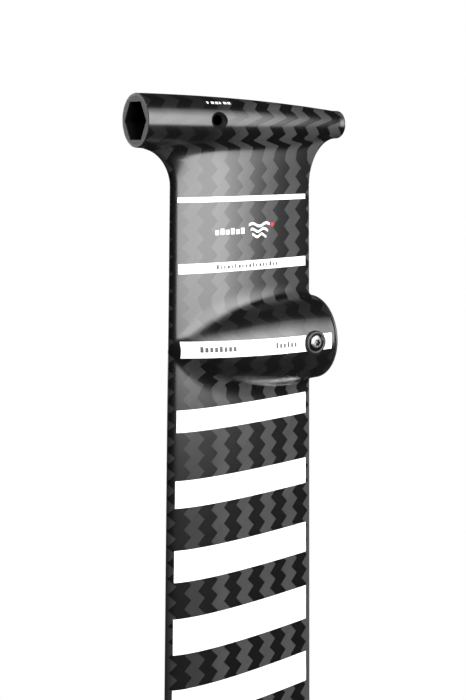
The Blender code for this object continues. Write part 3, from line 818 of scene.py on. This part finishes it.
def make_skin():
    across, sides, rows = skin_lattice()
    values = skin_field(across[:, None, :], sides[None, :, None], rows[None, None, :])
    points, quads = surface_net(across, sides, rows, values)
    points = onto_skin(points)
    mesh = bpy.data.meshes.new("mast_skin")
    mesh.from_pydata(points.tolist(), [], quads.tolist())
    skin = new_object("mast_skin", mesh)
    cutters = [
        cap_room_cutter(),
        sleeve_bore("socket_room", TUBE_FRONT_X - 0.003, SLEEVE_REAR_X),
        sleeve_bore("tail_room", TAIL_SLEEVE_X, TUBE_REAR_X + 0.003),
    ]
    for side in SIDES:
        cutters += [countersink_cutter(side), cup_seat_cutter(side)]
    carve(skin, cutters)
    points = np.empty(3 * len(skin.data.vertices))
    skin.data.vertices.foreach_get("co", points)
    attribute = skin.data.attributes.new("weave", "FLOAT_VECTOR", "POINT")
    places = weave_places(points.reshape(-1, 3))
    attribute.data.foreach_set("vector", places.astype(np.float32).ravel())
    skin.data.shade_smooth()
    skin.data.set_sharp_from_angle(angle=math.radians(32))
    shells = ("right_half_shell", "left_half_shell", "fuselage_tube")
    add_piece(skin, CARBON, "woven_carbon", *shells)
    skin.data.materials.append(CUT_CARBON)
    skin.data.materials.append(SOCKET_CARBON)
    centres = np.empty(3 * len(skin.data.polygons))
    skin.data.polygons.foreach_get("center", centres)
    centres = centres.reshape(-1, 3)
    normals = np.empty(3 * len(skin.data.polygons))
    skin.data.polygons.foreach_get("normal", normals)
    at_end = (centres[:, 0] < TUBE_FRONT_X + 0.0004) & (normals[::3] < -0.8)
    # Faces inside the cut holes take the socket carbon, which paints them near black as shade.
    bored = ~at_end & (skin_field(*centres.T) < -0.00015)
    skin.data.polygons.foreach_set("material_index", (at_end + 2 * bored).astype(np.int32))


# Printed bands and marks: thin films that follow the skin


PRINT_LIFT = 0.00005  # how far a print stands over the skin, and how deep it reaches into it
PRINT_DEPTH = 0.00025
TICK_LIFT = 0.00009


def film_mesh(patches, lift):
    """One mesh of closed films. A patch is a grid of x and z places, and its side's sign."""
    vertices, faces = [], []
    for x, z, sign in patches:
        count_u, count_v = x.shape
        flat_x, flat_z = x.ravel(), z.ravel()
        points = np.stack([flat_x, sign * skin_half_width(flat_x, flat_z), flat_z], axis=1)
        normal = field_gradient(points)
        normal /= np.linalg.norm(normal, axis=1)[:, None]
        start = len(vertices)
        size = count_u * count_v
        vertices += (points + lift * normal).tolist() + (points - PRINT_DEPTH * normal).tolist()
        grid = start + np.arange(size).reshape(count_u, count_v)
        a, b, c, d = grid[:-1, :-1], grid[1:, :-1], grid[1:, 1:], grid[:-1, 1:]
        top = np.stack([a, b, c, d], axis=-1).reshape(-1, 4)
        rim = [*grid[:, 0], *grid[-1, 1:], *grid[-2::-1, -1], *grid[0, -2:0:-1]]
        around = [(p, p + size, q + size, q) for p, q in zip(rim, rim[1:] + rim[:1])]
        closed = top.tolist() + (top[:, ::-1] + size).tolist() + around
        faces += closed if sign < 0 else [face[::-1] for face in closed]
    return vertices, faces


def film(name, patches, material, lift=PRINT_LIFT):
    vertices, faces = film_mesh(patches, lift)
    mesh = bpy.data.meshes.new(name)
    mesh.from_pydata(vertices, [], [tuple(int(i) for i in face) for face in faces])
    mesh.shade_smooth()
    mesh.set_sharp_from_angle(angle=math.radians(40))
    add_piece(new_object(name, mesh), material, "woven_carbon")


def patch(sign, x_low, x_high, z_low, z_high, count=(40, 4)):
    """A grid between two ends and two heights, each a number or a function of the other share."""

    def at(bound, share):
        return bound(share) if callable(bound) else np.full_like(share, bound)

    s, t = np.meshgrid(np.linspace(0, 1, count[0]), np.linspace(0, 1, count[1]), indexing="ij")
    x = at(x_low, t) * (1 - s) + at(x_high, t) * s
    z = at(z_low, s) * (1 - t) + at(z_high, s) * t
    return x, z, sign


# Height of each band's middle, how tall it is, and how far behind the leading edge it starts.
# The last five are out of the picture, and go on as the others do.
BLADE_BANDS = [
    (0.7428, 0.0032, 0.0034),
    (0.7008, 0.0061, 0.0042),
    (0.60565, 0.0142, 0.0042),
    (0.55865, 0.0177, 0.0038),
    (0.51157, 0.0211, 0.0036),
    (0.46455, 0.0241, 0.0034),
    (0.4177, 0.0217, 0.0032),
    (0.3704, 0.0181, 0.0032),
    (0.3231, 0.0145, 0.0032),
    (0.2758, 0.0109, 0.0032),
    (0.2285, 0.0073, 0.0032),
    (0.1812, 0.0036, 0.0032),
]
TRAILING_MARGIN = 0.0040
POD_BAND_Z = (0.6458, 0.6561)
POD_BAND_X = (-0.0494, 0.0520)
CUP_MARGIN = 0.0009  # bare skin between the pod's band and the cup


def bands(side):
    """The white bands on one side. The screw's cup parts the pod's band in two."""
    sign = SIDES[side]
    patches = []
    for centre, height, margin in BLADE_BANDS:
        low, high = centre - height / 2, centre + height / 2
        front = lambda t, a=low, b=high, m=margin: leading_x(a + (b - a) * t) + m
        rear = lambda t, a=low, b=high: trailing_x(a + (b - a) * t) - TRAILING_MARGIN
        patches.append(patch(sign, front, rear, low, high, (60, 5)))
    low, high = POD_BAND_Z

    def beside(direction):
        def edge(t):
            rise = low + (high - low) * t - SCREW[1]
            return SCREW[0] + direction * np.sqrt((CUP_R + CUP_MARGIN) ** 2 - rise**2)

        return edge

    patches.append(patch(sign, POD_BAND_X[0], beside(-1), low, high, (70, 9)))
    patches.append(patch(sign, beside(1), POD_BAND_X[1], low, high, (8, 9)))
    film(f"white_bands_{side}", patches, WHITE)


WAVES = 3
WAVE_TOP_Z = 0.7261
WAVE_PITCH = 0.0034
WAVE_X = (0.0010, 0.0180)
WAVE_STEP = 0.0014  # each wave is this much shorter at both ends than the one above it
WAVE_SWING = 0.0009
WAVE_HALF_WIDTH = 0.0008
DASHES = 6
DASH_END_X = -0.0026
DASH_PITCH = 0.0039
DASH_LENGTH = 0.0027
DASH_Z = (0.7209, 0.7246)
DASH_NOTCH = 0.0008
DOT = (0.0203, 0.7258)
DOT_R = 0.0014


def wave_edge(k, offset):
    """The upper or lower edge of a wave stroke."""
    middle = WAVE_TOP_Z - WAVE_PITCH * k + offset
    return lambda s: middle + WAVE_SWING * np.sin(2 * np.pi * (1.5 * s + 0.12 * k))


def dot_edge(direction):
    return lambda s: DOT[1] + direction * DOT_R * np.sin(np.arccos(1 - 2 * s))


def emblem(side):
    """A made-up mark: wave strokes and a red dot, with a row of short dashes in front of it."""
    sign = SIDES[side]
    strokes = []
    for k in range(WAVES):
        start, end = WAVE_X[0] + WAVE_STEP * k, WAVE_X[1] - WAVE_STEP * k
        edges = wave_edge(k, -WAVE_HALF_WIDTH), wave_edge(k, WAVE_HALF_WIDTH)
        strokes.append(patch(sign, start, end, *edges, (36, 3)))
    for k in range(DASHES):
        x = DASH_END_X - DASH_PITCH * k
        top = DASH_Z[1] - DASH_NOTCH * (k % 2)
        strokes.append(patch(sign, x - DASH_LENGTH, x, DASH_Z[0], top, (4, 4)))
    film(f"emblem_{side}", strokes, WHITE)
    dot = patch(sign, DOT[0] - DOT_R, DOT[0] + DOT_R, dot_edge(-1), dot_edge(1), (15, 5))
    film(f"emblem_dot_{side}", [dot], RED)


# Rows of ticks: how many, the first one's place, the pitch, and the height of their feet
SECOND_BAND_TICKS = (18, -0.0240, 0.0028, 0.6996)
POD_REAR_TICKS = (6, 0.0085, 0.0027, 0.6496)
POD_FRONT_TICKS = (8, -0.0392, 0.0028, 0.6494)
SIZE_MARKS = (6, -0.0334, 0.0031, 0.8001)


def ticks(sign, row, width, tall, count):
    """A row of ticks. Their width and height are functions of the tick's number."""
    number, first, pitch, foot = row
    made = []
    for k in range(number):
        x = first + pitch * k
        made.append(patch(sign, x, x + width(k), foot, foot + tall(k), count))
    return made


def every(step, special, usual):
    """A value that is special at every so many ticks."""
    return lambda k: usual if k % step else special


def scale_ticks(side):
    """Dark ticks on the second band and on the pod's band, and pale marks above the bolt hole."""
    sign = SIDES[side]
    second = every(3, 0.0018, 0.0012), every(5, 0.0028, 0.0020)
    rear = every(1, 0.0016, 0.0016), every(3, 0.0036, 0.0028)
    front = every(1, 0.0019, 0.0019), every(4, 0.0036, 0.0030)
    dark = ticks(sign, SECOND_BAND_TICKS, *second, (3, 4))
    dark += ticks(sign, POD_REAR_TICKS, *rear, (3, 5))
    dark += ticks(sign, POD_FRONT_TICKS, *front, (3, 5))
    film(f"scale_ticks_{side}", dark, DARK_INK, lift=TICK_LIFT)
    pale = every(3, 0.0011, 0.0021), every(1, 0.0013, 0.0013)
    film(f"size_marks_{side}", ticks(sign, SIZE_MARKS, *pale, (3, 3)), WHITE)


# Pod fittings


def end_cap():
    """The pod's rear cap: a rounded flange, a shallow dished face and a raised hub."""
    base = POD_SHELL_REAR_X + 0.00055
    rear = POD_REAR_X
    rim = POD_R - 0.00005
    profile = [(0, base - 0.004), (POD_R - 0.0026, base - 0.004), (POD_R - 0.0026, base)]
    profile += arc((rim - 0.0003, base + 0.0003), 0.0003, -90, 0, 4)
    profile += arc((rim - 0.0011, rear - 0.0011), 0.0011, 0, 90, 8)
    profile += arc((rim - 0.0042, rear - 0.0008), 0.0008, 90, 150, 4)
    profile += [(rim - 0.0058, rear - 0.0012), (0.0080, rear - 0.0012)]
    profile += arc((0.0072, rear - 0.0008), 0.0006, 0, 90, 5)
    profile += [(0, rear - 0.0002)]
    cap = turned("end_cap", profile[::-1], Matrix.Translation((0, 0, POD_Z)) @ AXIS_X, 144, 28)
    add_piece(cap, NYLON, "anodised_aluminium", "pod_end_cap")


def cup(side):
    """A cup washer with a rolled rim."""
    low, floor, high, bore = POD_R - 0.0009, POD_R, POD_R + 0.0014, 0.0034
    profile = [(SCREW_HEAD_R + 0.0002, floor)]
    profile += arc((SCREW_HEAD_R + 0.0008, high - 0.0006), 0.0006, 180, 90, 6)
    profile += arc((CUP_R - 0.0011, high - 0.0009), 0.0009, 90, 25, 6)
    profile += [(CUP_R, POD_R - 0.0003), (CUP_R, low), (bore, low), (bore, floor)]
    made = turned(f"cup_washer_{side}", profile, sideways(side, *SCREW), 96, 40)
    add_piece(made, NYLON, "black_nylon", f"screw_cup_{side}")


def screw(side):
    """A button-head screw with a star recess."""
    seat = POD_R - 0.0002
    rim, rise = 0.0013, 0.0026
    flat = 0.0026  # radius of the head's flat top
    profile = [(0, seat + rise), (flat, seat + rise)]
    dome = [(SCREW_HEAD_R - flat) * math.sin(i * math.pi / 20) for i in range(1, 11)]
    for reach in dome:
        share = reach / (SCREW_HEAD_R - flat)
        profile.append((flat + reach, seat + rim + (rise - rim) * math.sqrt(1 - share * share)))
    profile += [(SCREW_HEAD_R, seat + 0.0002), (SCREW_HEAD_R - 0.0002, seat), (0, seat)]
    made = turned(f"button_screw_{side}", profile, sideways(side, *SCREW), 96, 30)
    outline = []
    for i in range(72):
        angle = 2 * math.pi * i / 72
        radius = STAR_R + STAR_LOBE * math.cos(6 * angle)
        outline.append((radius * math.cos(angle), radius * math.sin(angle)))
    carve(made, [prism("recess", outline, seat + 0.0008, seat + 0.004, sideways(side, *SCREW))])
    made.data.shade_smooth()
    made.data.set_sharp_from_angle(angle=math.radians(30))
    # The screw takes the darker steel, whose colour is painted shade.
    add_piece(made, SCREW_STEEL_PAINTED_SHADE, "stainless_steel", f"pod_screw_{side}")


# CAD pieces that keep their own shape


def dress_nodes():
    finishes = {
        "cut_carbon": CUT_CARBON,
        "core_foam": FOAM,
        "anodised_aluminium": ANODISED,
        "stainless_steel": STEEL,
        "black_rubber": RUBBER,
        "black_nylon": NYLON,
        "woven_carbon": CARBON,
    }
    for row in frame["record"]["subparts"]:
        node = NODES[row["node"]]
        node.data.materials.clear()
        node.data.materials.append(finishes[row["material_slot"]])
    # The sleeve's hex socket takes the socket carbon, painted near black inside as shade.
    sleeve = NODES["hex_socket_sleeve"]
    sleeve.data.materials.clear()
    sleeve.data.materials.append(SOCKET_CARBON)


# Studio


MIDDLE = Vector((0.0, 0.0, 0.70))  # what every light points at
LIGHT_DISTANCE = 1.7

# The key is four softboxes one behind another, so that its edges are soft. Each row gives the
# angles of its top, bottom and right edges, as seen from the middle. All four share the left edge.
KEY_STEPS = [(50, -13.5, 48), (41, -12.5, 44), (33, -11.5, 40), (25, -10.0, 36)]
KEY_LEFT = -20
KEY_RADIANCE = 2.3
BACK_KEY_RADIANCE = 1.0

FLOOR_R = 0.78
FLOOR_TOP = -0.0001
SEEN_BACKGROUND = (1, 1, 1, 1)
LIGHTING_BACKGROUND = (0.028, 0.028, 0.029, 1)


def softbox(name, azimuth, elevation, distance, size, power):
    """An area light aimed at the middle. Azimuth turns from -Y towards +X, in degrees."""
    turn, rise = math.radians(azimuth), math.radians(elevation)
    flat = distance * math.cos(rise)
    offset = Vector((flat * math.sin(turn), -flat * math.cos(turn), distance * math.sin(rise)))
    light = bpy.data.lights.new(name, "AREA")
    light.shape = "RECTANGLE"
    light.size, light.size_y = size
    light.energy = power
    obj = bpy.data.objects.new(name, light)
    bpy.context.scene.collection.objects.link(obj)
    obj.location = MIDDLE + offset
    obj.rotation_euler = (-offset).to_track_quat("-Z", "Y").to_euler()


def stepped_key(name, turned_by, radiance):
    for step, (top, bottom, right) in enumerate(KEY_STEPS):
        distance = LIGHT_DISTANCE + 0.01 * step
        wide = 2 * distance * math.tan(math.radians((right - KEY_LEFT) / 2))
        high = 2 * distance * math.tan(math.radians((top - bottom) / 2))
        azimuth, elevation = turned_by + (right + KEY_LEFT) / 2, (top + bottom) / 2
        power = radiance * math.pi * wide * high
        softbox(f"{name}_{step}", azimuth, elevation, distance, (wide, high), power)


def backdrop():
    """A white background for the camera, and a dim one for everything else."""
    world = bpy.data.worlds.new("studio")
    bpy.context.scene.world = world
    world.use_nodes = True
    tree = world.node_tree
    tree.nodes.clear()
    output = tree.nodes.new("ShaderNodeOutputWorld")
    seen = tree.nodes.new("ShaderNodeBackground")
    seen.inputs["Color"].default_value = SEEN_BACKGROUND
    lit = tree.nodes.new("ShaderNodeBackground")
    lit.inputs["Color"].default_value = LIGHTING_BACKGROUND
    mix = tree.nodes.new("ShaderNodeMixShader")
    path = tree.nodes.new("ShaderNodeLightPath")
    tree.links.new(path.outputs["Is Camera Ray"], mix.inputs[0])
    tree.links.new(lit.outputs[0], mix.inputs[1])
    tree.links.new(seen.outputs[0], mix.inputs[2])
    tree.links.new(mix.outputs[0], output.inputs[0])


def studio():
    profile = [(0, FLOOR_TOP), (FLOOR_R, FLOOR_TOP), (FLOOR_R, -0.004), (0, -0.004)]
    floor = turned("floor", profile, None, 128)
    g = Graph("pale_floor")
    tone = g.noise(g.stretched((6, 6, 6)), 1.0, 3.0)
    colour = g.blend(tone, (0.70, 0.70, 0.69, 1), (0.76, 0.76, 0.75, 1))
    g.set(Base_Color=colour, Roughness=0.7)
    floor.data.materials.append(g.material)
    floor.visible_glossy = False
    stepped_key("key", 0, KEY_RADIANCE)
    stepped_key("back_key", 180, BACK_KEY_RADIANCE)
    softbox("left", -80, 42, LIGHT_DISTANCE, (0.6, 0.4), 8.0)
    softbox("right", 100, 3, LIGHT_DISTANCE, (0.3, 0.5), 6.0)
    backdrop()


# Camera. Yaw turns from +Y towards +X, pitch is above the horizon, and roll is about the view.

CAMERA_PLACE = (-0.4467, -0.6449, 0.7791)
CAMERA_YAW = math.radians(34.32)
CAMERA_PITCH = math.radians(-9.65)
CAMERA_ROLL = math.radians(0.17)
CAMERA_LENS = 63.7
SENSOR_WIDTH = 36.0


def camera():
    data = bpy.data.cameras.new("camera")
    data.lens = CAMERA_LENS
    data.sensor_width = SENSOR_WIDTH
    obj = bpy.data.objects.new("camera", data)
    bpy.context.scene.collection.objects.link(obj)
    yaw, pitch = CAMERA_YAW, CAMERA_PITCH
    ahead = Vector(
        (math.sin(yaw) * math.cos(pitch), math.cos(yaw) * math.cos(pitch), math.sin(pitch))
    )
    right = Vector((math.cos(yaw), -math.sin(yaw), 0))
    up = right.cross(ahead)
    turn = Matrix((right, up, -ahead)).transposed() @ Matrix.Rotation(CAMERA_ROLL, 3, "Z")
    obj.matrix_world = Matrix.Translation(CAMERA_PLACE) @ turn.to_4x4()
    bpy.context.scene.camera = obj
    bpy.context.scene.view_settings.view_transform = "Standard"


camera()
studio()
dress_nodes()
make_skin()
for side in SIDES:
    bands(side)
    emblem(side)
    scale_ticks(side)
    cup(side)
    screw(side)
end_cap()
